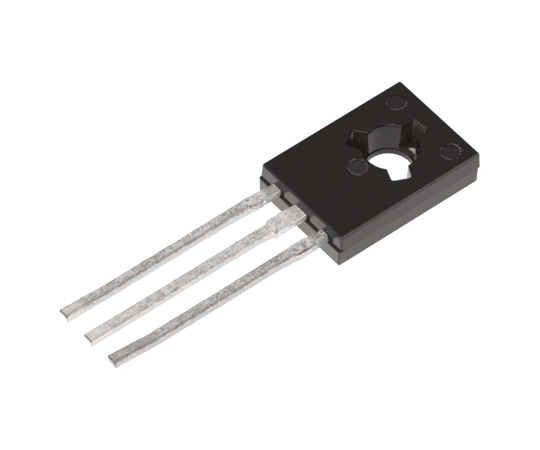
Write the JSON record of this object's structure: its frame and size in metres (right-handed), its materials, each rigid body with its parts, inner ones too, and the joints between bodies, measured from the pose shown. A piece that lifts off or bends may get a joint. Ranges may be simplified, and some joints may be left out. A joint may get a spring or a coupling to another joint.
{
  "type": "pnp power transistor",
  "caption": "Flat black moulded power transistor with a lobed screw hole, a bare metal back that sheds heat, and a row of straight tinned leads.",
  "frame": {"origin": "on the axis of the screw hole, in the plane of the metal back", "axes": "+Z from the metal back towards the moulded front, -Y along the leads, +X across them towards the base lead"},
  "size_m": [0.0076, 0.0268, 0.0023],
  "materials": {
    "black_epoxy": "semi-gloss moulded resin",
    "tinned_copper": "dull hot-dipped tin",
    "silicon": "polished",
    "solder": "dull",
    "bond_wire": "drawn"
  },
  "bodies": {
    "root": {"epoxy_body": "black_epoxy", "collector_frame": "tinned_copper", "emitter_lead": "tinned_copper", "base_lead": "tinned_copper", "silicon_die": "silicon", "die_solder": "solder", "emitter_bond_wire": "bond_wire", "base_bond_wire": "bond_wire"}
  },
  "joints": []
}
